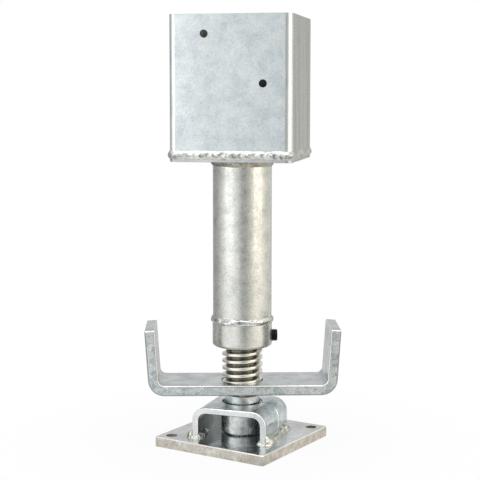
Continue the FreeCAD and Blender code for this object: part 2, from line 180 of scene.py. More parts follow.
@dataclass(frozen=True)
class Galvanising(Finish):
    """Hot-dip galvanised steel, a zinc skin that cooled in the air.

    To the eye it is a half-dull metal: grey clouds a few centimetres wide, faint crystals with pale
    or beige borders, a fine grain like orange peel and a few tea-coloured stains.
    """

    dark: str = "#a5aaab"
    middle: str = "#c2c6c6"
    light: str = "#dcdfde"
    warm: str = "#cdc4b2"
    warm_share: float = 0.30
    cloud_mm: float = 24.0
    crystal_mm: float = 7.0
    crystal_share: float = 0.15
    border: str = "#d6cfbf"
    border_share: float = 0.0
    # Colour laid in the sunk parts of a weld's face, as painted shade.
    hollow_shade: str = "#5c6062"
    hollow_shade_share: float = 0.0
    rim: str = "#cdc1a8"
    grain_mm: float = 1.5
    grain_share: float = 0.25
    # Tones of the side walls' streaks: zinc runs, made darker as painted shade on the sides.
    side_streak_and_shade_tones: tuple[tuple[float, str], ...] = ()
    side_wall_mm: float = 59.0
    roughness: float = 0.36
    roughness_swing: float = 0.08
    metallic: float = 0.88
    lump_mm: float = 6.0
    lump_height_mm: float = 0.12
    grain_height_mm: float = 0.03
    # Colour laid as painted shade on faces that look down, and outwards by the second share.
    painted_shade: str = ""
    painted_shade_outwards: float = 0.0
    # Near-black laid low inside a piece, over the height span, is painted shade.
    depth_shade: str = ""
    depth_shade_m: tuple[float, float] = (0.352, 0.382)

    def metal(self, shader: Shader) -> dict[str, Socket | float]:
        """Build the clouds, lay the rest over them, and give the metal its dullness and relief.

        Args:
            shader: the material being built.

        Returns:
            The inputs of the metal.
        """
        waves = ((self.cloud_mm, 5.0), (self.cloud_mm * 0.6, 4.0), (self.grain_mm, 3.0), (self.lump_mm, 2.0))
        noises = [
            {"Vector": shader.place, "Scale": per_metre(width), "Detail": detail, "Roughness": 0.6}
            for width, detail in waves
        ]
        cloud, patch, fine, lumps = (shader.add("ShaderNodeTexNoise", noise) for noise in noises)
        stops = ((0.34, self.dark), (0.50, self.middle), (0.66, self.light))
        tone = shader.add("ShaderNodeValToRGB", {"Fac": cloud}, stops=stops)
        for layer in self.layers(shader, patch, fine):
            tone = layer.over(shader, tone)
        rough = shader.add("ShaderNodeMapRange", {
            "Value": patch, "From Min": 0.35, "From Max": 0.65,
            "To Min": self.roughness - self.roughness_swing, "To Max": self.roughness + self.roughness_swing,
        })
        relief = {"Height": lumps, "Strength": 1.0, "Distance": self.lump_height_mm * MM}
        coarse = shader.add("ShaderNodeBump", relief)
        relief = {"Height": fine, "Strength": 1.0, "Distance": self.grain_height_mm * MM, "Normal": coarse}
        normal = shader.add("ShaderNodeBump", relief)
        return {"Base Color": tone, "Metallic": self.metallic, "Roughness": rough, "Normal": normal}

    def layers(self, shader: Shader, patch: Socket, fine: Socket) -> list[Layer]:
        """Find what lies over the clouds.

        Args:
            shader: the material being built.
            patch: noise in patches somewhat smaller than the clouds.
            fine: noise as fine as the grain.

        Returns:
            The layers that the finish has, lowest first: runs with painted side shade, crystals, stains,
            borders between crystals, the toes of a weld and painted shade in its sunk parts, painted shade
            on faces that look down or outwards, painted shade low inside a box, and the grain.
        """
        noise = {"Vector": shader.place, "Scale": per_metre(5.0), "Detail": 3.0}
        wobble = shader.add("ShaderNodeTexNoise", noise, "Color")
        reach = 0.45 * self.crystal_mm * MM
        shift = shader.add("ShaderNodeVectorMath", {0: wobble, "Scale": reach}, operation="SCALE")
        warped = shader.add("ShaderNodeVectorMath", {0: shader.place, 1: shift}, operation="ADD")
        cells = {"Vector": warped, "Scale": per_metre(self.crystal_mm)}
        grey = shader.add("ShaderNodeRGBToBW", {"Color": shader.add("ShaderNodeTexVoronoi", cells, "Color")})
        stops = ((0.2, self.dark), (0.8, self.light))
        made = [
            *([self.runs(shader)] if self.side_streak_and_shade_tones else []),
            Layer(shader.add("ShaderNodeValToRGB", {"Fac": grey}, stops=stops), high=self.crystal_share),
            Layer(self.warm, patch, 0.46, 0.66, 0.0, self.warm_share),
        ]
        if self.border_share:
            edge = shader.add("ShaderNodeTexVoronoi", cells, "Distance", feature="DISTANCE_TO_EDGE")
            made.append(Layer(self.border, edge, 0.02, 0.13, self.border_share, 0.0))
        # A weld's toes take their own beige; its sunk parts take painted shade.
        if self.hollow_shade_share:
            rim = shader.add("ShaderNodeAttribute", output="Fac", attribute_name="rim")
            hollow_shade = shader.add("ShaderNodeAttribute", output="Fac", attribute_name="hollow_shade")
            made.append(Layer(self.rim, rim, 0.2, 0.9, 0.0, 0.75))
            made.append(Layer(self.hollow_shade, hollow_shade, 0.25, 0.85, 0.0, self.hollow_shade_share))
        # Painted shade on faces that look down or outwards.
        if self.painted_shade:
            made.append(Layer(self.painted_shade, self.lit_side(shader), -0.4, -0.1, 1.0, 0.0))
        # Painted shade deep inside the box.
        if self.depth_shade:
            height = shader.add("ShaderNodeSeparateXYZ", {"Vector": shader.place}, "Z")
            made.append(Layer(self.depth_shade, height, *self.depth_shade_m, 0.9, 0.0))
        stops = ((0.38, self.dark), (0.62, self.light))
        grain = shader.add("ShaderNodeValToRGB", {"Fac": fine}, stops=stops)
        return [*made, Layer(grain, high=self.grain_share)]

    def runs(self, shader: Shader) -> Layer:
        """Draw upright runs on the two side walls, where the zinc drained; their darker tones also paint
        shade onto the side walls.

        Args:
            shader: the material being built.

        Returns:
            The layer of the runs.
        """
        drawn_out = shader.add("ShaderNodeMapping", {"Vector": shader.place, "Scale": (1.0, 1.0, 0.04)})
        streaks = {"Vector": drawn_out, "Scale": per_metre(7.0), "Detail": 4.0, "Roughness": 0.6}
        streak = shader.add("ShaderNodeTexNoise", streaks)
        tone = shader.add("ShaderNodeValToRGB", {"Fac": streak}, stops=self.side_streak_and_shade_tones)
        across = shader.add("ShaderNodeSeparateXYZ", {"Vector": shader.place}, "X")
        width = shader.add("ShaderNodeMath", {0: across}, operation="ABSOLUTE")
        wall = self.side_wall_mm * MM
        return Layer(tone, width, wall - 2.0 * MM, wall - 0.2 * MM, 0.0, 0.85)

    def lit_side(self, shader: Shader) -> Socket:
        """Tell how far a face looks up, less a share of how far it looks away from the axis.

        The colour laid where this is low is painted shade on faces that look down and, by the share,
        outwards.

        Args:
            shader: the material being built.

        Returns:
            Below 0 on the side that gets the painted shade.
        """
        looks = shader.add("ShaderNodeTexCoord", output="Normal")
        flat = shader.add("ShaderNodeVectorMath", {0: shader.place, 1: (1.0, 1.0, 0.0)}, operation="MULTIPLY")
        away = shader.add("ShaderNodeVectorMath", {0: flat}, operation="NORMALIZE")
        outwards = shader.add("ShaderNodeVectorMath", {0: looks, 1: away}, "Value", operation="DOT_PRODUCT")
        up = shader.add("ShaderNodeSeparateXYZ", {"Vector": looks}, "Z")
        share = {0: outwards, 1: -self.painted_shade_outwards, 2: up}
        return shader.add("ShaderNodeMath", share, operation="MULTIPLY_ADD")


@dataclass(frozen=True)
class TurnedScrewSteel(Finish):
    """Rolled thread with a thin zinc coat: bright on the crests, olive grey down in the roots, partly dirt
    and partly painted shade.
    """

    name: str = "galvanised rolled thread"
    crest: str = "#fffcf4"
    flank: str = "#e9e4d5"
    # Olive grey in the roots: partly dirt, partly painted shade.
    root: str = "#4d4939"
    crest_radius_mm: float = 20.0
    root_radius_mm: float = 16.0
    worn_dark: str = "#8c8471"
    worn_light: str = "#f2f1ec"
    worn_share: float = 0.15
    smoothest: float = 0.10
    roughest: float = 0.24

    def metal(self, shader: Shader) -> dict[str, Socket | float]:
        """Colour the metal by its distance from the axis, darker in the roots as partly dirt and partly
        painted shade, and lay the wear over it.

        Args:
            shader: the material being built.

        Returns:
            The inputs of the metal.
        """
        flat = shader.add("ShaderNodeVectorMath", {0: shader.place, 1: (1.0, 1.0, 0.0)}, operation="MULTIPLY")
        radius = shader.add("ShaderNodeVectorMath", {0: flat}, "Value", operation="LENGTH")
        span = {"From Min": self.root_radius_mm * MM, "From Max": self.crest_radius_mm * MM}
        height = shader.add("ShaderNodeMapRange", {"Value": radius, **span})
        stops = ((0.04, self.root), (0.32, self.flank), (0.9, self.crest))
        tone = shader.add("ShaderNodeValToRGB", {"Fac": height}, stops=stops)
        noise = {"Vector": shader.place, "Scale": per_metre(4.0), "Detail": 5.0}
        wear = shader.add("ShaderNodeTexNoise", noise)
        stops = ((0.35, self.worn_dark), (0.62, self.worn_light))
        worn = shader.add("ShaderNodeValToRGB", {"Fac": wear}, stops=stops)
        swing = {"To Min": self.smoothest, "To Max": self.roughest}
        return {
            "Base Color": Layer(worn, high=self.worn_share).over(shader, tone),
            "Metallic": 0.95,
            "Roughness": shader.add("ShaderNodeMapRange", {"Value": wear, **swing}),
            "Normal": shader.add("ShaderNodeBump", {"Height": wear, "Strength": 0.25, "Distance": 0.1 * MM}),
        }


@dataclass(frozen=True)
class BlackOxide(Finish):
    """Black oxide on a hardened set screw: near black, half dull, with a trace of oil."""

    name: str = "black oxide set screw"
    dark: str = "#0d0d0e"
    light: str = "#1f1f21"

    def metal(self, shader: Shader) -> dict[str, Socket | float]:
        """Mix two blacks in small clouds.

        Args:
            shader: the material being built.

        Returns:
            The inputs of the metal.
        """
        noise = {"Vector": shader.place, "Scale": per_metre(2.0), "Detail": 3.0}
        cloud = shader.add("ShaderNodeTexNoise", noise)
        tone = shader.add("ShaderNodeValToRGB", {"Fac": cloud}, stops=((0.35, self.dark), (0.7, self.light)))
        return {"Base Color": tone, "Metallic": 0.5, "Roughness": 0.36}


def spun(radius: np.ndarray, angle: np.ndarray, height: np.ndarray) -> np.ndarray:
    """Points at a radius and an angle about the spindle's axis, at a height."""
    return np.stack(np.broadcast_arrays(radius * np.cos(angle), radius * np.sin(angle), height), axis=-1)


def turned(across: np.ndarray, along: np.ndarray, angle: np.ndarray | float) -> np.ndarray:
    """Points or directions in a plane, turned anticlockwise."""
    return np.stack([
        across * np.cos(angle) - along * np.sin(angle), across * np.sin(angle) + along * np.cos(angle)
    ], axis=-1)


def face_vectors(mesh: bpy.types.Mesh, key: str) -> np.ndarray:
    """The vector of the named kind of each face."""
    values = np.empty(len(mesh.polygons) * 3)
    mesh.polygons.foreach_get(key, values)
    return values.reshape(-1, 3)


def grid_faces(rows: int, columns: int, wrap_rows: bool, wrap_columns: bool) -> np.ndarray:
    """Quads over a grid of points that are numbered row by row.

    Args:
        rows: number of rows.
        columns: number of points in a row.
        wrap_rows: whether the last row joins the first.
        wrap_columns: whether each row's end joins its start.

    Returns:
        Four point numbers for each quad.
    """
    number = np.arange(rows * columns).reshape(rows, columns)
    number = np.pad(number, ((0, int(wrap_rows)), (0, int(wrap_columns))), mode="wrap")
    corners = (number[:-1, :-1], number[:-1, 1:], number[1:, 1:], number[1:, :-1])
    return np.stack(corners, axis=-1).reshape(-1, 4)


@contextmanager
def merged(mesh: bpy.types.Mesh) -> Iterator[bmesh.types.BMesh]:
    """Merge a mesh's points that fall together, and lend it out for more work."""
    work = bmesh.new()
    work.from_mesh(mesh)
    bmesh.ops.remove_doubles(work, verts=work.verts, dist=MERGE_DISTANCE)
    yield work
    work.to_mesh(mesh)
    work.free()


def piece_from_grids(
    name: str,
    grids: list[tuple[np.ndarray, bool, bool]],
    sharp_degrees: float,
    values: dict[str, np.ndarray] | None = None,
) -> bpy.types.Object:
    """Make one object from closed surfaces, each given as a grid of points.

    Points that fall together are merged, which closes seams and poles. Faces are turned outwards.

    Args:
        name: name of the piece.
        grids: for each surface its points as rows by columns by 3, and whether rows and columns wrap.
        sharp_degrees: edges that bend by more than this stay sharp.
        values: named numbers for the points, which become attributes.

    Returns:
        The new object, at the origin.
    """
    points = []
    faces = []
    count = 0
    for grid, wrap_rows, wrap_columns in grids:
        rows, columns = grid.shape[:2]
        faces.append(grid_faces(rows, columns, wrap_rows, wrap_columns) + count)
        points.append(grid.reshape(-1, 3))
        count += rows * columns
    mesh = bpy.data.meshes.new(name)
    mesh.from_pydata(np.concatenate(points), [], np.concatenate(faces))
    for key, numbers in (values or {}).items():
        attribute = mesh.attributes.new(key, "FLOAT", "POINT")
        attribute.data.foreach_set("value", numbers.reshape(-1).astype(np.float32))
    with merged(mesh) as work:
        bmesh.ops.dissolve_degenerate(work, edges=work.edges, dist=MERGE_DISTANCE)
        bmesh.ops.recalc_face_normals(work, faces=work.faces)
    return link_piece(name, mesh, sharp_degrees)


def link_object(name: str, data: bpy.types.ID) -> bpy.types.Object:
    """Put a mesh, a lamp or a camera into the scene."""
    made = bpy.data.objects.new(name, data)
    bpy.context.scene.collection.objects.link(made)
    return made


def link_piece(name: str, mesh: bpy.types.Mesh, sharp_degrees: float) -> bpy.types.Object:
    """Put a mesh into the scene, smooth but for its sharp edges.

    Args:
        name: name of the piece.
        mesh: its mesh, in the row frame.
        sharp_degrees: edges that bend by more than this stay sharp.

    Returns:
        The new object.
    """
    mesh.shade_smooth()
    mesh.set_sharp_from_angle(angle=math.radians(sharp_degrees))
    return link_object(name, mesh)


def revolved_grid(profile: Profile, columns: int) -> np.ndarray:
    """A profile turned about the spindle's axis, one circle a row."""
    radius, height = np.array(profile).T[:, :, None]
    return spun(radius, np.linspace(0, FULL_TURN, columns, endpoint=False)[None, :], height)


def rounded_profile(corners: list[tuple[float, float, float]], steps: int = 6) -> Profile:
    """Round the corners of an open profile.

    A corner with a rounding becomes points on the quadratic curve that starts and ends that far
    along the two sides and has the corner as its control point.

    Args:
        corners: radius, height and rounding of each corner, in metres.
        steps: points on each rounded corner.

    Returns:
        Radius and height pairs.
    """
    made: Profile = []
    places = np.array([(radius, height) for radius, height, _ in corners])
    for index, (radius, height, rounding) in enumerate(corners):
        if rounding == 0 or index in (0, len(corners) - 1):
            made.append((radius, height))
            continue
        corner = places[index]
        ways = (places[index - 1] - corner, places[index + 1] - corner)
        start, end = (corner + way / np.linalg.norm(way) * rounding for way in ways)
        share = np.linspace(0, 1, steps)[:, None]
        curve = (1 - share) ** 2 * start + 2 * share * (1 - share) * corner + share ** 2 * end
        made.extend((float(point[0]), float(point[1])) for point in curve)
    return made


def dress(
    piece: bpy.types.Object, node: str, body: str, *finishes: Finish, slot: str = "galvanised_steel"
) -> None:
    """Give a shaped piece its materials and its body, and hide the solid that it stands for.

    Args:
        piece: the shaped piece.
        node: the CAD node that it replaces.
        body: the body that it moves with.
        finishes: its finishes, in the order of the numbers that its faces carry.
        slot: the record's material slot; not used.
    """
    piece.data.materials.clear()
    for finish in finishes:
        piece.data.materials.append(finish.build())
    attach(piece, body)
    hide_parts(node)
    LOG.info("%s: %d faces, rides on %s", piece.name, len(piece.data.polygons), body)


class CutFaces(Enum):
    """Which faces of a piece were cut, and so carry a coarser zinc skin than the rolled ones."""

    RIM = "the upright faces round a flat plate"
    SIDES = "the two flat faces of a bent bar"
    ENDS = "the top and bottom of an upright tube"


class Skin(IntEnum):
    """Number of each finish among a plain piece's materials."""

    ROLLED = 0
    CUT = 1
    ARRIS = 2
    INSIDE = 3
    CORNER = 4


@dataclass
class PlainSteelPiece:
    """A cut, bent or rolled piece that keeps its solid's shape and gets softened edges."""

    node: str
    body: str
    rolled: Galvanising
    cut: Galvanising
    arris: Galvanising
    cut_faces: CutFaces
    turn_degrees: float = 0.0
    edge_round_mm: float = 0.5
    inside: Galvanising | None = None
    corner: Galvanising | None = None
    bores_mm: tuple[tuple[float, float], ...] = ()
    bore_reach_mm: float = 6.5
    sharp_degrees: float = 40.0
    flat_degrees: float = 0.3
    cut_lean: float = 0.93
    arris_lean: float = 0.35
    corner_lean: float = 0.1
    upright: float = 0.5

    def skins(self, mesh: bpy.types.Mesh) -> np.ndarray:
        """Choose each face's finish.

        How far its normal leans to the direction of the cuts tells a cut face from an eased edge and
        a rolled face. Upright rolled faces that look to the axis are inside, or else those round a
        bore, and a corner's face looks along neither x nor y.

        Args:
            mesh: the mesh of the piece.

        Returns:
            The number of a finish for each face.
        """
        normals = face_vectors(mesh, "normal")
        places = face_vectors(mesh, "center")[:, :2]
        turn = math.radians(self.turn_degrees)
        lean = {
            CutFaces.RIM: np.sqrt(1 - np.clip(normals[:, 2] ** 2, 0, 1)),
            CutFaces.ENDS: np.abs(normals[:, 2]),
            CutFaces.SIDES: np.abs(normals @ np.array([-math.sin(turn), math.cos(turn), 0.0])),
        }[self.cut_faces]
        made = np.where(lean > self.arris_lean, Skin.ARRIS, Skin.ROLLED)
        made[lean > self.cut_lean] = Skin.CUT
        upright = np.abs(normals[:, 2]) < self.upright
        # Inside faces and bore walls get the inside finish, darker as painted shade; bent corners get the
        # corner finish, lighter as a painted highlight.
        if self.inside and not self.bores_mm:
            inwards = (normals[:, :2] * places).sum(axis=1) < 0
            made[inwards & upright & (made == Skin.ROLLED)] = Skin.INSIDE
        if self.corner:
            bent = np.abs(normals[:, 0] * normals[:, 1]) > self.corner_lean
            made[bent & (made == Skin.ROLLED)] = Skin.CORNER
        for bore in self.bores_mm:
            near = np.linalg.norm(places - np.array(bore) * MM, axis=1) < self.bore_reach_mm * MM
            made[near & upright] = Skin.INSIDE
        return made.astype(np.int32)

    def build(self) -> None:
        """Merge a copy of the solid's mesh, clear its flat faces of inner edges and round its edges."""
        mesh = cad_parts[self.node].data.copy()
        mesh.name = self.node + "_surface"
        with merged(mesh) as work:
            flat = math.radians(self.flat_degrees)
            bmesh.ops.dissolve_limit(work, angle_limit=flat, verts=work.verts, edges=work.edges)
        piece = link_piece(self.node + "_skin", mesh, self.sharp_degrees)
        bevel = piece.modifiers.new("edges", "BEVEL")
        bevel.width = self.edge_round_mm * MM
        bevel.segments = 3
        bevel.limit_method = "ANGLE"
        bevel.angle_limit = math.radians(self.sharp_degrees)
        bevel.harden_normals = True
        # Rounded edges take the arris finish, whose near-white colour paints a highlight.
        bevel.material = Skin.ARRIS
        finishes = [self.rolled, self.cut, self.arris, self.inside or self.rolled]
        finishes += [self.corner] if self.corner else []
        dress(piece, self.node, self.body, *finishes)
        mesh.polygons.foreach_set("material_index", self.skins(mesh))


@dataclass(frozen=True)
class TrapezoidalThread:
    """The 40 x 7 trapezoidal thread, right hand, with eased crests and roots."""

    pitch_mm: float = 7.0
    crest_radius_mm: float = 20.0
    root_radius_mm: float = 16.0
    start_degrees: float = -84.0
    columns: int = 144
    half_profile: tuple[tuple[float, float], ...] = (
        (0.0, 1.0), (0.95, 1.0), (1.15, 0.985), (1.32, 0.93), (1.42, 0.83), (2.22, 0.14),
        (2.34, 0.05), (2.52, 0.012), (2.75, 0.0), (3.5, 0.0),
    )

    def surface(self, low: float, high: float, play_mm: float) -> np.ndarray:
        """Points of the threaded surface between two heights.

        Each row follows the helix at one distance from the crest's middle, so the ridge's edges are
        rows. Heights are clipped to the two ends, where rows fall together and are merged. The
        radius at a distance, wrapped to half a pitch either side, is read off the half profile.

        Args:
            low: lower end in metres.
            high: upper end in metres.
            play_mm: how far the surface is moved out all round, for a nut.

        Returns:
            The grid, rows by columns by 3. Its last column meets its first one pitch on.
        """
        pitch = self.pitch_mm * MM
        distances, ridge = np.array(self.half_profile).T
        offsets = np.concatenate([-distances[:0:-1], distances[:-1]]) * MM
        first = math.floor(low / pitch) - 2
        last = math.ceil(high / pitch) + 1
        start = (np.arange(first, last)[:, None] * pitch + offsets[None, :]).reshape(-1, 1)
        turn = np.linspace(0, 1, self.columns + 1)[None, :]
        height = np.clip(start + pitch * turn, low, high)
        half = self.pitch_mm / 2
        wrapped = np.abs(((height - pitch * turn) / MM + half) % self.pitch_mm - half)
        depth = self.crest_radius_mm - self.root_radius_mm
        radius = (self.root_radius_mm + depth * np.interp(wrapped, distances, ridge) + play_mm) * MM
        angle = FULL_TURN * turn + math.radians(self.start_degrees)
        return spun(radius, angle, height)


@dataclass
class Spindle:
    """The turned screw: a captive foot, a neck and the long thread."""

    thread: TrapezoidalThread = TrapezoidalThread()
    finish: TurnedScrewSteel = TurnedScrewSteel()
    smooth: TurnedScrewSteel = TurnedScrewSteel(
        "galvanised turned neck", crest="#dde2e3", crest_radius_mm=12.0, root_radius_mm=8.0,
        worn_dark="#79858c", worn_share=0.35, smoothest=0.16, roughest=0.38,
    )
    neck_radius_mm: float = 17.25
    boss_radius_mm: float = 15.0
    foot_gap_mm: float = 2.0
    end_chamfer_mm: float = 4.5
    bridge_bar_mm: float = 6.0
    plate_gap_mm: float = 1.0

    def thread_grid(self, low: float, high: float) -> np.ndarray:
        """The threaded length with a conical end and a pole on the axis at each end."""
        grid = self.thread.surface(low, high, 0.0)
        radius = np.linalg.norm(grid[..., :2], axis=-1)
        cone = (self.thread.crest_radius_mm - self.end_chamfer_mm) * MM + (high - grid[..., 2])
        shrink = np.minimum(1.0, cone / radius)
        grid[..., :2] *= shrink[..., None]
        pole = np.zeros((1, grid.shape[1], 3))
        return np.concatenate([pole + (0.0, 0.0, low), grid, pole + (0.0, 0.0, high)])

    def foot_profile(self, neck_top: float) -> Profile:
        """Boss, foot and neck from the plate up, with eased edges."""
        low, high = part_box("spindle")
        foot = high.x
        boss, neck = self.boss_radius_mm * MM, self.neck_radius_mm * MM
        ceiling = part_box("bridge_front")[1].z - (self.bridge_bar_mm + self.foot_gap_mm) * MM
        boss_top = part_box("base_plate")[1].z + self.plate_gap_mm * MM
        return rounded_profile([
            (0.0, low.z, 0.0), (boss, low.z, 0.0), (boss, boss_top, 0.0), (foot - 1.0 * MM, boss_top, 0.0),
            (foot, boss_top + 1.2 * MM, 0.6 * MM), (foot, ceiling, 0.8 * MM),
            (neck, ceiling, 0.0), (neck, neck_top, 0.0), (0.0, neck_top, 0.0),
        ])

    def build(self) -> None:
        """Build the whole screw."""
        neck_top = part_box("yoke")[0].z
        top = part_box("spindle")[1].z
        piece = piece_from_grids(
            "spindle_screw",
            [
                (self.thread_grid(neck_top, top), False, False),
                (revolved_grid(self.foot_profile(neck_top), 128), False, True),
            ],
            sharp_degrees=38.0,
        )
        dress(piece, "spindle", "screw", self.finish, self.smooth, slot="spindle_steel")
        turned_part = face_vectors(piece.data, "center")[:, 2] < neck_top
        piece.data.polygons.foreach_set("material_index", turned_part.astype(np.int32))


@dataclass
class NutCollar:
    """The round nut: threaded bore, rounded lower edge, eased upper edge."""

    finish: Galvanising
    thread: TrapezoidalThread = TrapezoidalThread()
    play_mm: float = 0.45
    lower_round_mm: float = 3.6
    upper_round_mm: float = 0.5

    def build(self) -> None:
        """Join the bore's surface to the outside, which runs from the top face down and under."""
        low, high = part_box("nut_collar")
        outer = high.x
        bore = self.thread.surface(low.z, high.z, self.play_mm)
        outside = rounded_profile([
            (outer - 3.0 * MM, high.z, 0.0),
            (outer, high.z, self.upper_round_mm * MM),
            (outer, low.z, self.lower_round_mm * MM),
            (outer - 6.0 * MM, low.z, 0.0),
        ], steps=9)
        radius, height = np.array(outside).T[:, :, None]
        angle = np.linspace(0, FULL_TURN, bore.shape[1])[None, :] + math.radians(self.thread.start_degrees)
        grid = np.concatenate([bore, spun(radius, angle, height)])
        piece = piece_from_grids("nut_collar_body", [(grid, True, False)], sharp_degrees=38.0)
        dress(piece, "nut_collar", "head", self.finish)


@dataclass
class Tube:
    """The round tube between nut and head plate."""

    finish: Galvanising
    wall_mm: float = 5.0

    def build(self) -> None:
        """Turn the tube's wall, a closed loop of four corners with upright sides in short steps."""
        low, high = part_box("tube")
        outer = high.x
        inner = outer - self.wall_mm * MM
        heights = np.linspace(low.z, high.z, 24)
        profile = [(outer, height) for height in heights] + [(inner, height) for height in heights[::-1]]
        piece = piece_from_grids("tube_wall", [(revolved_grid(profile, 160), True, True)], sharp_degrees=38.0)
        dress(piece, "tube", "head", self.finish)


@dataclass
class LockScrew:
    """The set screw in the collar: fine thread, chamfered rim and hex socket."""

    finish: BlackOxide = BlackOxide()
    turn_degrees: float = 12.0
    radius_mm: float = 6.0
    length_mm: float = 14.0
    tip_mm: float = 20.8
    thread_pitch_mm: float = 1.75
    thread_depth_mm: float = 0.7
    chamfer_mm: float = 1.1
    socket_flats_mm: float = 6.0
    socket_depth_mm: float = 6.0
    socket_chamfer_mm: float = 0.25
    columns: int = 96

    def build(self) -> None:
        """Lay the screw along its own axis and turn it into the collar.

        Rows run from the tip's centre over the thread to the rim, in to the hexagon and down the
        socket. The thread is a cosine ripple of the radius whose phase grows by one turn a pitch.
        """
        angle = np.linspace(0, FULL_TURN, self.columns, endpoint=False)[None, :]
        along = np.arange(0.0, self.length_mm + 0.01, self.thread_pitch_mm / 8)[:, None]
        phase = FULL_TURN * along / self.thread_pitch_mm - angle
        radius = self.radius_mm - self.thread_depth_mm * (0.5 + 0.5 * np.cos(phase)) ** 2
        rim = self.radius_mm - self.chamfer_mm
        radius = np.minimum(radius, rim + np.minimum(along, self.length_mm - along))
        corner = (angle + math.pi / 6) % (math.pi / 3) - math.pi / 6
        hexagon = self.socket_flats_mm / 2 / np.cos(corner)
        centre = np.zeros_like(angle)
        floor = self.length_mm - self.socket_depth_mm
        chamfer = self.socket_chamfer_mm
        radii = np.concatenate([centre, radius, hexagon + chamfer, hexagon, hexagon, centre])
        ends = np.array([[self.length_mm], [self.length_mm - chamfer], [floor], [floor - 1.0]])
        stations = np.concatenate([[[0.0]], along, ends]) + centre
        height = (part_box("lock_screw")[0].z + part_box("lock_screw")[1].z) / 2
        outwards = (self.tip_mm + stations) * MM
        flat = turned(outwards, radii * np.cos(angle) * MM, math.radians(self.turn_degrees))
        upwards = height + radii * np.sin(angle) * MM
        grid = np.concatenate([flat, upwards[..., None]], axis=-1)
        piece = piece_from_grids("lock_screw_body", [(grid, False, True)], sharp_degrees=35.0)
        dress(piece, "lock_screw", "lock", self.finish, slot="black_steel")


@dataclass
class WeldPath:
    """The line that a weld follows: its root, the direction away from the pieces, and the way along it."""

    root: np.ndarray
    out: np.ndarray
    distance: np.ndarray
    closed: bool


def ring_path(radius: float, height: float, points: int) -> WeldPath:
    """A circle about the axis with the radius, at one height."""
    angle = np.linspace(0, FULL_TURN, points, endpoint=False)
    out = spun(1.0, angle, 0.0)
    root = out * radius + np.array([0.0, 0.0, height])
    return WeldPath(root, out, radius * angle, True)


def polyline_path(
    corners: np.ndarray, radius: float, step: float, closed: bool, height: float
) -> WeldPath:
    """A route along straight sides whose corners turn on arcs.

    The route lies at the given radius outside the corner points, so a radius of 0 makes the
    direction swing at the corner while the root stays there. The corners run anticlockwise round
    the metal that the weld is on the outside of.

    Args:
        corners: corner points of the inner route, n by 2, in metres.
        radius: distance of the route from the corners.
        step: spacing of points along it.
        closed: whether the last corner joins the first.
        height: height of the root.

    Returns:
        The path.
    """
    count = len(corners)
    sides = count if closed else count - 1
    parts = []
    travelled = 0.0
    swing_reach = max(radius, SWING_REACH)
    for index in range(sides):
        start, end = corners[index], corners[(index + 1) % count]
        along = (end - start) / np.linalg.norm(end - start)
        out = np.array([along[1], -along[0]])
        length = float(np.linalg.norm(end - start))
        last = not closed and index == sides - 1
        points = max(2, int(length / step))
        share = np.linspace(0, 1, points + last, endpoint=last)[:, None]
        straight = start + (end - start) * share + out * radius
        parts.append((straight, np.broadcast_to(out, straight.shape), travelled + share[:, 0] * length))
        travelled += length
        if last:
            break
        following = corners[(index + 2) % count] - end
        following = following / np.linalg.norm(following)
        turn = math.atan2(along[0] * following[1] - along[1] * following[0], float(along @ following))
        arc = swing_reach * abs(turn)
        swing = np.linspace(0, turn, max(6, int(arc / step)), endpoint=False)
        swung = turned(out[0], out[1], swing)
        parts.append((end + swung * radius, swung, travelled + swing_reach * np.abs(swing)))
        travelled += arc
    root, out, distance = (np.concatenate(column) for column in zip(*parts))
    root = np.column_stack([root, np.full(len(root), height)])
    out = np.column_stack([out, np.zeros(len(out))])
    return WeldPath(root, out, distance, closed)


def lattice_waves(along: np.ndarray, across: np.ndarray, cells: int, rows: int, seed: int) -> np.ndarray:
    """Smooth random heights from -1 to 1 over a strip whose end joins its start.

    Random heights stand on a lattice of cells by rows, and between them the height is blended by
    three squares less two cubes of the share of the way.

    Args:
        along: shares of the strip's length, from 0 to 1.
        across: shares of its width, from 0 to 1.
        cells: lattice cells along the strip.
        rows: lattice cells across it.
        seed: seed of the heights.

    Returns:
        The heights, of the broadcast shape of the two.
    """
    heights = np.random.default_rng(seed).uniform(-1, 1, (cells, rows + 1))
    cell, share_along = np.divmod(along * cells, 1.0)
    row, share_across = np.divmod(np.clip(across, 0, 1) * rows * 0.999999, 1.0)
    row = row.astype(int)
    near = cell.astype(int) % cells
    far = (cell.astype(int) + 1) % cells
    along, across = (share ** 2 * (3 - 2 * share) for share in (share_along, share_across))
    low, high = (
        heights[near, side] * (1 - along) + heights[far, side] * along for side in (row, row + 1)
    )
    return low * (1 - across) + high * across


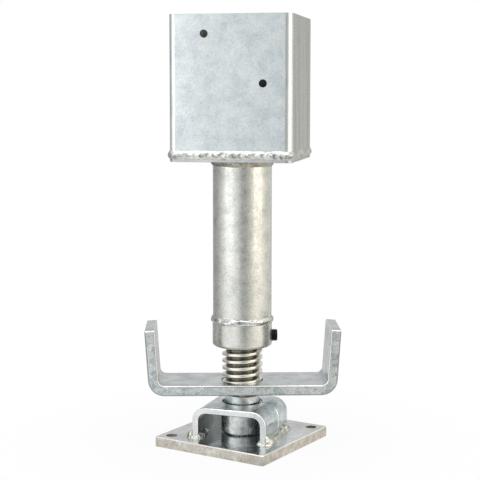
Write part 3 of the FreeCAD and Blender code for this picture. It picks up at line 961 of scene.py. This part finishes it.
@dataclass
class Weld:
    """One run of weld metal: a convex face laid in overlapping scales, with lumps drawn out along it."""

    node: str
    body: str
    finish: Galvanising
    path: WeldPath
    foot_mm: tuple[float, float]
    crown_mm: tuple[float, float]
    head_mm: tuple[float, float]
    ripple_mm: float = 5.0
    ripple_height_mm: float = 0.3
    lump_mm: float = 6.0
    lump_height_mm: float = 0.35
    bow: float = 0.8
    waver: float = 0.08
    wave_mm: float = 12.0
    taper_mm: float = 3.0
    sunk_mm: float = 0.3
    bead_share: float = 0.0
    seed: int = 1
    across: int = 20
    thickness: np.ndarray | None = None

    def length(self) -> float:
        """Length of the path in metres, with the step that closes a ring."""
        distance = self.path.distance
        return float(distance[-1] + (distance[1] - distance[0] if self.path.closed else 0.0))

    def count(self, spacing_mm: float) -> int:
        """How many of a feature fit along the run, at least three."""
        return max(3, round(self.length() / (spacing_mm * MM)))

    def swell(self) -> np.ndarray:
        """Find how thick the run is along the path.

        Slow seeded waves, then beads that neck down where they meet by the 0.6th power of a sine,
        then the given thickness, and ends that taper on a quarter circle.

        Returns:
            A share of the full section for each point of the path.
        """
        along = self.path.distance / self.length()
        waves = lattice_waves(along, np.zeros_like(along), self.count(self.wave_mm), 1, self.seed)
        swell = 1 + self.waver * waves
        if self.bead_share:
            beads = np.abs(np.sin(math.pi * self.count(self.ripple_mm) * along)) ** 0.6
            swell *= 1 - self.bead_share * (1 - beads)
        if self.thickness is not None:
            swell *= self.thickness
        if not self.path.closed:
            to_end = np.minimum(self.path.distance, self.length() - self.path.distance)
            share = np.clip(to_end / (self.taper_mm * MM), 0.02, 1)
            swell *= np.sqrt(np.clip(1 - (1 - share) ** 2, 0, 1))
        return swell

    def relief(self, share: np.ndarray) -> np.ndarray:
        """Height of the scales and lumps on the face, in metres.

        A scale rises in a straight line along the run and drops over its last sixth, and its phase
        runs ahead in the middle of the face, so that each scale is a crescent. Lumps are smooth
        random heights on cells that are longer than they are wide.

        Args:
            share: shares of the way from foot to head, one row for all points.

        Returns:
            One row for each point of the path.
        """
        along = (self.path.distance / self.length())[:, None]
        ripples = self.count(self.ripple_mm)
        drift = 0.4 * lattice_waves(along, np.zeros_like(along), max(3, ripples // 2), 1, self.seed + 40)
        crescent = self.bow * (1 - (2 * share - 1) ** 2)
        phase = (ripples * along + drift + crescent) % 1.0
        scale = phase * np.minimum(1.0, (1 - phase) * 6) - 0.4
        cells = self.count(self.lump_mm)
        lumps = lattice_waves(along, share, cells, 3, self.seed + 60)
        lumps += 0.5 * lattice_waves(along, share, cells * 2 + 1, 5, self.seed + 80)
        fade = np.sin(math.pi * np.clip(share, 0.05, 0.95)) ** 0.5
        return (self.ripple_height_mm * scale + self.lump_height_mm * lumps) * fade * MM

    def surface(self) -> tuple[np.ndarray, dict[str, np.ndarray]]:
        """Lay the face along the path.

        The face is the quadratic curve from foot over crown to head, moved outwards by the relief.
        The last point of each row lies back at the root, inside the joint.

        Returns:
            One row of points for each point of the path, and for each point its share of painted shade in the
            sunk parts of the relief and how near a toe it is.
        """
        share = np.linspace(0, 1, self.across)[None, :]
        curve = share[..., None]
        places = (self.foot_mm, self.crown_mm, self.head_mm)
        foot, crown, head = (np.array(place)[None, None, :] * MM for place in places)
        control = 2 * crown - (foot + head) / 2
        face = (1 - curve) ** 2 * foot + 2 * curve * (1 - curve) * control + curve ** 2 * head
        slope = 2 * (1 - curve) * (control - foot) + 2 * curve * (head - control)
        normal = np.stack([slope[..., 1], -slope[..., 0]], axis=-1)
        normal /= np.linalg.norm(normal, axis=-1, keepdims=True)
        swell = self.swell()[:, None]
        push = self.relief(share)
        section = face * swell[..., None] + normal * push[..., None]
        out_by = np.concatenate([section[..., 0], np.full_like(swell, -self.sunk_mm * MM)], axis=1)
        up_by = np.concatenate([section[..., 1], swell * (foot[0, 0, 1] + head[0, 0, 1]) / 2], axis=1)
        points = (
            self.path.root[:, None, :]
            + self.path.out[:, None, :] * out_by[..., None]
            + np.array([0.0, 0.0, 1.0]) * up_by[..., None]
        )
        depth = (self.ripple_height_mm + self.lump_height_mm) * MM
        # Share of painted shade, in the parts where the relief lies low.
        hollow_shade = np.clip(0.35 - push / depth, 0, 1)
        rim = np.clip(1 - np.minimum(share, 1 - share) / 0.14, 0, 1) + 0.0 * push
        values = {"hollow_shade": hollow_shade, "rim": rim}
        return points, {key: np.pad(rows, ((0, 0), (0, 1))) for key, rows in values.items()}

    def build(self) -> None:
        """Build the run, closing its ends to a point where the path is open."""
        grid, values = self.surface()
        if not self.path.closed:
            tips = [np.broadcast_to(grid[end].mean(axis=0), grid[:1].shape) for end in (0, -1)]
            grid = np.concatenate([tips[0], grid, tips[1]])
            values = {key: np.concatenate([rows[:1], rows, rows[-1:]]) for key, rows in values.items()}
        grids = [(grid, self.path.closed, True)]
        piece = piece_from_grids(self.node + "_bead", grids, sharp_degrees=60.0, values=values)
        dress(piece, self.node, self.body, self.finish)


@dataclass
class Welds:
    """Every weld, placed from the pieces that it joins."""

    bright: Galvanising
    fillet: Galvanising
    shaded: Galvanising
    bridge_turn_degrees: float = -8.0
    bridge_span_mm: float = 76.0
    bridge_bar_mm: float = 6.0
    bridge_front_mm: float = 40.0
    bridge_back_mm: float = 29.0
    back_gap_mm: float = 2.0
    inner_reach_mm: float = 26.0
    neck_radius_mm: float = 17.25
    box_corner_mm: float = 7.0

    def leg_path(self, side: int) -> WeldPath:
        """Round one pair of legs: outside, front end and a little of the inside.

        Args:
            side: -1 for the left legs, 1 for the right.

        Returns:
            The path, in the bridge's own turn about the axis.
        """
        outside = side * self.bridge_span_mm / 2
        inside = outside - side * self.bridge_bar_mm
        places = [
            (outside, self.bridge_back_mm - self.back_gap_mm),
            (outside, -self.bridge_front_mm),
            (inside, -self.bridge_front_mm),
            (inside, -self.bridge_front_mm + self.inner_reach_mm),
        ]
        if side > 0:
            places.reverse()
        corners = turned(*(np.array(places) * MM).T, math.radians(self.bridge_turn_degrees))
        return polyline_path(corners, 0.0, 0.45 * MM, False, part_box("base_plate")[1].z)

    def leg_thickness(self, path: WeldPath, side: int) -> np.ndarray:
        """Share of the full bead along a leg: full outside, thin across the leg's end and inside.

        Args:
            path: the path round the leg.
            side: -1 for the left legs, 1 for the right.

        Returns:
            A share for each point of the path.
        """
        outside = (self.bridge_back_mm - self.back_gap_mm + self.bridge_front_mm) * MM
        swing = SWING_REACH * math.pi / 2
        end = self.bridge_bar_mm * MM
        stops = np.cumsum([0.0, outside, swing, end, swing, self.inner_reach_mm * MM])
        shares = np.array([1.0, 1.0, 0.38, 0.36, 0.58, 0.5])
        distance = path.distance if side < 0 else path.distance[-1] - path.distance
        return np.interp(distance, stops, shares)

    def build(self) -> None:
        """Build all the welds."""
        for side, node in ((-1, "bridge_weld_left"), (1, "bridge_weld_right")):
            path = self.leg_path(side)
            Weld(
                node, "base", self.fillet, path, (6.6, 0.0), (4.4, 4.4), (0.0, 7.4), ripple_mm=13.0,
                ripple_height_mm=0.6, lump_mm=8.0, lump_height_mm=0.8, bow=0.4, waver=0.2,
                bead_share=0.22, seed=11 + side, thickness=self.leg_thickness(path, side),
            ).build()
        tube_low, tube_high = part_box("tube")
        corner = self.box_corner_mm * MM
        square = np.array([(-1, -1), (1, -1), (1, 1), (-1, 1)]) * (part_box("post_box")[1].x - corner)
        yoke_ring = ring_path(self.neck_radius_mm * MM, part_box("yoke")[0].z, 420)
        nut_ring = ring_path(tube_high.x, tube_low.z, 900)
        head_ring = ring_path(tube_high.x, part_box("head_plate")[0].z, 900)
        box_path = polyline_path(square, corner, 0.55 * MM, True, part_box("post_box")[0].z)
        for weld in (
            Weld(
                "yoke_weld", "screw", self.shaded, yoke_ring, (0.0, -4.6), (3.6, -2.9), (6.0, 0.0),
                ripple_mm=3.6, seed=4,
            ),
            Weld(
                "collar_weld", "head", self.bright, nut_ring, (0.4, 0.1), (2.1, 3.1), (0.02, 6.5),
                ripple_mm=7.5, lump_mm=7.0, lump_height_mm=0.4, bow=0.3, seed=7, waver=0.05,
            ),
            Weld(
                "tube_weld", "head", self.shaded, head_ring, (0.0, -6.3), (2.1, -3.0), (3.2, 0.0),
                lump_height_mm=0.3, seed=9, waver=0.05,
            ),
            Weld(
                "box_weld", "head", self.bright, box_path, (0.0, -5.6), (1.9, -1.6), (0.0, 2.7),
                ripple_mm=6.5, lump_mm=5.0, lump_height_mm=0.42, bow=0.5, seed=23, waver=0.1,
            ),
        ):
            weld.build()


@dataclass(frozen=True)
class Softbox:
    """A soft rectangular lamp that faces the object, at an azimuth counted from the camera's side."""

    name: str
    azimuth_degrees: float
    elevation_degrees: float
    size_m: tuple[float, float]
    watts: float
    colour: str
    distance_m: float = 1.3
    aim_height_m: float = 0.2

    def build(self, camera_azimuth: float) -> None:
        """Add the lamp to the scene, round from the camera's azimuth in degrees."""
        data = bpy.data.lights.new(self.name, "AREA")
        data.shape = "RECTANGLE"
        data.size, data.size_y = self.size_m
        data.energy = self.watts
        data.color = linear(self.colour)[:3]
        around = math.radians(camera_azimuth + self.azimuth_degrees)
        up = math.radians(self.elevation_degrees)
        away = (math.sin(around) * math.cos(up), -math.cos(around) * math.cos(up), math.sin(up))
        made = link_object(self.name, data)
        made.location = [self.distance_m * share for share in away]
        made.location.z += self.aim_height_m
        made.rotation_euler = (math.pi / 2 - up, 0.0, around)


@dataclass
class Studio:
    """Plain pale floor, soft lamps, and the camera where the photograph was taken from."""

    azimuth_degrees: float = 11.8
    distance_m: float = 1.2158
    height_m: float = 0.3489
    aside_m: float = -0.00225
    pitch_degrees: float = 5.745
    lens_mm: float = 93.06
    sensor_mm: float = 36.0
    shift: float = -0.05
    view_limit_m: float = 50.0
    world_level: float = 0.4
    floor_half_m: float = 8.0
    lamps: tuple[Softbox, ...] = (
        Softbox("left_softbox", -52.0, 12.0, (0.85, 1.3), 2.2, "#fbfdff"),
        Softbox("right_softbox", 63.0, 12.0, (0.95, 1.3), 3.1, "#fff6e8"),
        Softbox("overhead", 0.0, 80.0, (1.5, 1.5), 9.0, WHITE),
    )
    room: tuple[tuple[float, str], ...] = (
        (-180.0, "#dedede"), (-160.0, "#c0c0c0"), (-137.0, "#989898"), (-112.0, "#a6a6a6"),
        (-93.0, "#cccccc"), (-77.0, "#f2f2f2"), (-70.0, "#f6f6f6"), (-36.0, "#fcfcfc"), (-27.0, "#fcfdfd"),
        (-18.0, "#eef0f0"), (-9.0, "#c8cccb"), (0.0, "#a0a3a1"), (13.0, "#a0a29e"), (23.0, "#c0c0ba"),
        (35.0, "#e4e0d6"), (48.0, "#f8f4ec"), (90.0, "#f8f3e8"), (109.0, "#e4e1d8"), (128.0, "#dadad6"),
        (141.0, "#dcdfe0"), (150.0, "#c6c5be"), (156.0, "#c0beb6"), (180.0, "#dedede"),
    )

    def camera(self) -> None:
        """Place the camera, level across and pitched down."""
        data = bpy.data.cameras.new("camera")
        data.lens = self.lens_mm
        data.sensor_width = self.sensor_mm
        data.shift_y = self.shift
        data.clip_end = self.view_limit_m
        turn = math.radians(self.azimuth_degrees)
        made = link_object("camera", data)
        made.location = (
            self.aside_m * math.cos(turn) + self.distance_m * math.sin(turn),
            self.aside_m * math.sin(turn) - self.distance_m * math.cos(turn),
            self.height_m,
        )
        made.rotation_euler = (math.radians(90 - self.pitch_degrees), 0.0, turn)
        bpy.context.scene.camera = made

    def room_tone(self, shader: Shader) -> Socket:
        """Tell what stands round the object: soft lamps, a darker camera side and the backdrop.

        Args:
            shader: the tree being built, whose place or direction gives the azimuth.

        Returns:
            The colour of the room there.
        """
        turn = (0.0, 0.0, math.radians(90 - self.azimuth_degrees))
        facing = shader.add("ShaderNodeMapping", {"Vector": shader.place, "Rotation": turn})
        azimuth = shader.add("ShaderNodeTexGradient", {"Vector": facing}, "Fac", gradient_type="RADIAL")
        stops = tuple((0.5 + degrees / 360, colour) for degrees, colour in self.room)
        return shader.add("ShaderNodeValToRGB", {"Fac": azimuth}, stops=stops)

    def floor(self) -> None:
        """Lay a wide pale floor that stays white to the camera but keeps the object's shadow.

        Reflections see in it the part of the room that stands on its far side, more so further out.
        """
        half = self.floor_half_m
        mesh = bpy.data.meshes.new("floor")
        corners = [(-half, -half, 0.0), (half, -half, 0.0), (half, half, 0.0), (-half, half, 0.0)]
        mesh.from_pydata(corners, [], [(0, 1, 2, 3)])
        shader = Shader(bpy.data.materials.new("white paper sweep"))
        camera_ray = shader.add("ShaderNodeLightPath", output="Is Camera Ray")
        glossy_ray = shader.add("ShaderNodeLightPath", output="Is Glossy Ray")
        seen = shader.add("ShaderNodeMath", {0: camera_ray, 1: glossy_ray}, operation="MAXIMUM")
        distance = shader.add("ShaderNodeVectorMath", {0: shader.place}, "Value", operation="LENGTH")
        spans = [
            {"Value": distance, "From Min": start, "From Max": end, "To Min": low}
            for start, end, low in ((0.09, 0.28, 0.94), (0.18, 0.35, 0.5))
        ]
        near, far = (shader.add("ShaderNodeMapRange", span) for span in spans)
        mirrored = shader.add("ShaderNodeMath", {0: far, 1: glossy_ray}, operation="MULTIPLY")
        sockets = {"Factor": mirrored, MIX_UNDER: WHITE, MIX_OVER: self.room_tone(shader)}
        tone = shader.add("ShaderNodeMix", sockets, MIX_RESULT, data_type="RGBA")
        paper = shader.add("ShaderNodeMixShader", {
            0: shader.add("ShaderNodeMath", {0: seen, 1: near}, operation="MULTIPLY"),
            1: shader.add("ShaderNodeBsdfDiffuse", {"Color": "#f4f4f4"}),
            2: shader.add("ShaderNodeEmission", {"Color": tone, "Strength": 1.0}),
        })
        shader.add("ShaderNodeOutputMaterial", {"Surface": paper})
        mesh.materials.append(shader.owner)
        link_object("floor", mesh)

    def world(self) -> None:
        """Light the room evenly, show the camera a white backdrop and reflections the room.

        Reflections see the room turn white towards the zenith, as under a white ceiling.
        """
        world = bpy.data.worlds.new("studio")
        bpy.context.scene.world = world
        shader = Shader(world, "Generated")
        glossy_ray = shader.add("ShaderNodeLightPath", output="Is Glossy Ray")
        camera_ray = shader.add("ShaderNodeLightPath", output="Is Camera Ray")
        through_ray = shader.add("ShaderNodeLightPath", output="Is Transmission Ray")
        up = shader.add("ShaderNodeSeparateXYZ", {"Vector": shader.place}, "Z")
        room = Layer(WHITE, up, 0.3, 0.6).over(shader, self.room_tone(shader))
        even, mirrored, white = (
            shader.add("ShaderNodeBackground", {"Color": colour, "Strength": level})
            for colour, level in ((WHITE, self.world_level), (room, 1.0), (WHITE, 1.0))
        )
        lit = shader.add("ShaderNodeMixShader", {0: glossy_ray, 1: even, 2: mirrored})
        plain = shader.add("ShaderNodeMath", {0: camera_ray, 1: through_ray}, operation="MAXIMUM")
        both = shader.add("ShaderNodeMixShader", {0: plain, 1: lit, 2: white})
        shader.add("ShaderNodeOutputWorld", {"Surface": both})

    def build(self) -> None:
        """Set the whole studio up."""
        self.camera()
        self.floor()
        self.world()
        for lamp in self.lamps:
            lamp.build(self.azimuth_degrees)


PLATE_ZINC = Galvanising(
    "galvanised ground plate", "#b9bec0", "#d6dada", "#eceeed", "#d8cfbb",
    cloud_mm=18.0, roughness=0.2, metallic=0.95,
)
PLATE_EDGE = Galvanising(
    "galvanised plate edge", "#a79f90", "#cbc8c0", "#ecebe8", "#c0b190",
    crystal_mm=6.0, crystal_share=0.35, border_share=0.2, cloud_mm=9.0, warm_share=0.6, roughness=0.42,
    lump_height_mm=0.3,
)
# The darker colour in the anchor holes is partly zinc ash and partly painted shade.
BORE_ASH_AND_SHADE = Galvanising(
    "zinc ash and painted shade in the anchor holes", "#8b8474", "#b5ad9b", "#d6cdbb", "#c0b194", roughness=0.6,
)
BRIDGE_ZINC = Galvanising(
    "galvanised bent bridge", "#adb9bf", "#d6dfe3", "#f1f5f6", roughness=0.22,
    cloud_mm=9.0, warm_share=0.1, metallic=0.96,
)
BRIDGE_EDGE = Galvanising(
    "galvanised bar end", "#c8cfd4", "#dfe3e6", "#f4f5f6", roughness=0.34,
)
# The dark inner faces of the bridge's legs are painted shade under the bridge; the back half takes a lighter
# copy.
BRIDGE_TUNNEL_SHADE = Galvanising(
    "painted shade under the bridge", "#5c6467", "#747d80", "#939c9f", roughness=0.35,
    warm_share=0.1, cloud_mm=12.0,
)
BRIDGE_BACK_TUNNEL_SHADE = replace(
    BRIDGE_TUNNEL_SHADE, name="lighter painted shade under the bridge's back half", dark="#7b8386", middle="#949b9e", light="#b0b6b8",
)
YOKE_ZINC = Galvanising(
    "galvanised flat bar", "#a3acb0", "#c4cbce", "#dfe4e5", "#cfc8b8",
    warm_share=0.25, roughness=0.21, metallic=0.94, cloud_mm=16.0, grain_share=0.1,
    grain_height_mm=0.008, lump_height_mm=0.06,
)
CUT_ZINC = Galvanising(
    "galvanised cut edge", "#88a0ac", "#d2dfe4", "#fbfeff", "#ebe5d6",
    crystal_mm=5.5, crystal_share=0.68, border_share=0.65, border="#efe8d8", cloud_mm=6.0,
    warm_share=0.35, roughness=0.42, lump_height_mm=0.3, grain_mm=1.2, grain_share=0.35, metallic=0.8,
)
# The near-white edge colour paints a highlight along eased edges; the brown and grey laid on edges that look
# down, and outwards on the bar, are painted shade.
ARRIS = Galvanising(
    "galvanised edge", "#e4e4e2", "#f4f4f2", WHITE, "#ece0ca", roughness=0.22, painted_shade="#6f675a",
)
BAR_ARRIS = replace(ARRIS, name="galvanised edge of the bar", painted_shade="#70757a", painted_shade_outwards=1.0)
TUBE_ZINC = Galvanising(
    "galvanised round tube", "#c2c4c0", "#e4e6e2", "#f9f9f5", "#dfd8c8",
    warm_share=0.35, cloud_mm=12.0, grain_mm=1.6, grain_share=0.4, grain_height_mm=0.04,
    lump_height_mm=0.05, roughness=0.28,
)
# The grey-beige laid on the nut's faces that look down is painted shade.
NUT_ZINC = Galvanising(
    "galvanised round nut", "#c4c6c1", "#e4e5e1", "#f8f8f4", "#e2dbc9",
    warm_share=0.35, cloud_mm=9.0, grain_mm=1.6, grain_share=0.22, grain_height_mm=0.025,
    lump_height_mm=0.06, roughness=0.25, metallic=0.85, painted_shade="#a3a297",
)
HEAD_ZINC = Galvanising(
    "galvanised head plate", "#a7b0b4", "#c6cccf", "#dde1e3", roughness=0.4,
)
BOX_ZINC = Galvanising(
    "galvanised square section", "#bfcacf", "#dae1e4", "#ecf1f3", "#e2dfd5",
    cloud_mm=14.0, crystal_mm=3.0, crystal_share=0.22, grain_mm=1.3, grain_share=0.34,
    lump_height_mm=0.03, roughness=0.27,
    # Darker streak tones on the side walls: zinc runs and painted shade.
    side_streak_and_shade_tones=((0.38, "#6b7074"), (0.48, "#a2a29d"), (0.58, "#cfccbf")),
)
# Darker colours on the box's rounded edges are painted shade; the higher roughness is the rim's duller zinc.
BOX_RIM = Galvanising(
    "painted shade on the rim of the box", "#82888b", "#989d9f", "#b4b8b8", "#a8a190", roughness=0.4,
)
# Lighter colours on the bent corners paint the white highlight band; their lower roughness is the smoother
# zinc there.
BOX_CORNER = Galvanising(
    "smoother zinc with painted highlight on the bent corners", "#e0e5e7", "#f2f5f6", "#fdfefe", "#f0ebdf",
    roughness=0.17, lump_height_mm=0.03, grain_height_mm=0.02,
)
# The dark inner walls, and near-black towards the bottom, are painted shade inside the box.
BOX_INNER_SHADE = Galvanising(
    "painted shade inside the box", "#565e62", "#6c767a", "#838c90", roughness=0.55, depth_shade="#050506",
)
BEAD_ZINC = Galvanising(
    "galvanised weld bead", "#c3c6c6", "#e0e1df", "#f8f8f5", cloud_mm=7.0,
    grain_share=0.08, roughness=0.2, lump_mm=3.0, lump_height_mm=0.04, hollow_shade_share=0.62, hollow_shade="#4b5053",
)
FILLET_ZINC = Galvanising(
    "galvanised fillet weld", "#b3bdc0", "#d8dddd", "#f6f8f7", cloud_mm=7.0,
    crystal_mm=5.0, crystal_share=0.4, border="#cdbd9b", border_share=0.5, grain_share=0.1,
    roughness=0.22, lump_mm=2.5, lump_height_mm=0.05, hollow_shade_share=0.6, hollow_shade="#8a8270", metallic=0.92,
)
# Darker copy of the bead finish for the welds under the yoke and under the head plate: painted shade.
RING_WELD_SHADE = Galvanising(
    "galvanised ring weld in painted shade", "#85837c", "#b0aa9a", "#d2cdbf", cloud_mm=7.0,
    roughness=0.32, lump_mm=2.5, lump_height_mm=0.05, hollow_shade_share=0.8,
)


def plain_pieces() -> list[PlainSteelPiece]:
    """Every piece whose solid keeps its shape, with the turn and the edges that the real one has."""
    bridge = PlainSteelPiece(
        "bridge_front", "base", BRIDGE_ZINC, BRIDGE_EDGE, ARRIS, CutFaces.SIDES, turn_degrees=-8.0,
        edge_round_mm=0.6, inside=BRIDGE_TUNNEL_SHADE,
    )
    return [
        PlainSteelPiece(
            "base_plate", "base", PLATE_ZINC, PLATE_EDGE, ARRIS, CutFaces.RIM, turn_degrees=-20.7,
            edge_round_mm=1.0, inside=BORE_ASH_AND_SHADE, bores_mm=((65.1, 29.4), (-65.1, -29.4)),
        ),
        bridge,
        replace(bridge, node="bridge_back", inside=BRIDGE_BACK_TUNNEL_SHADE),
        PlainSteelPiece(
            "yoke", "screw", YOKE_ZINC, CUT_ZINC, BAR_ARRIS, CutFaces.SIDES, turn_degrees=13.3,
            edge_round_mm=1.1,
        ),
        PlainSteelPiece("head_plate", "head", HEAD_ZINC, HEAD_ZINC, ARRIS, CutFaces.RIM),
        PlainSteelPiece(
            "post_box", "head", BOX_ZINC, BOX_ZINC, BOX_RIM, CutFaces.ENDS, edge_round_mm=0.4,
            inside=BOX_INNER_SHADE, corner=BOX_CORNER,
        ),
    ]


def main() -> None:
    """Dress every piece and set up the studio."""
    logging.basicConfig(level=logging.INFO, format="%(name)s: %(message)s")
    bpy.context.scene.view_settings.view_transform = "Standard"
    for piece in plain_pieces():
        piece.build()
    Spindle().build()
    NutCollar(NUT_ZINC).build()
    Tube(TUBE_ZINC).build()
    LockScrew().build()
    Welds(BEAD_ZINC, FILLET_ZINC, RING_WELD_SHADE).build()
    Studio().build()


if __name__ == "__main__":
    main()
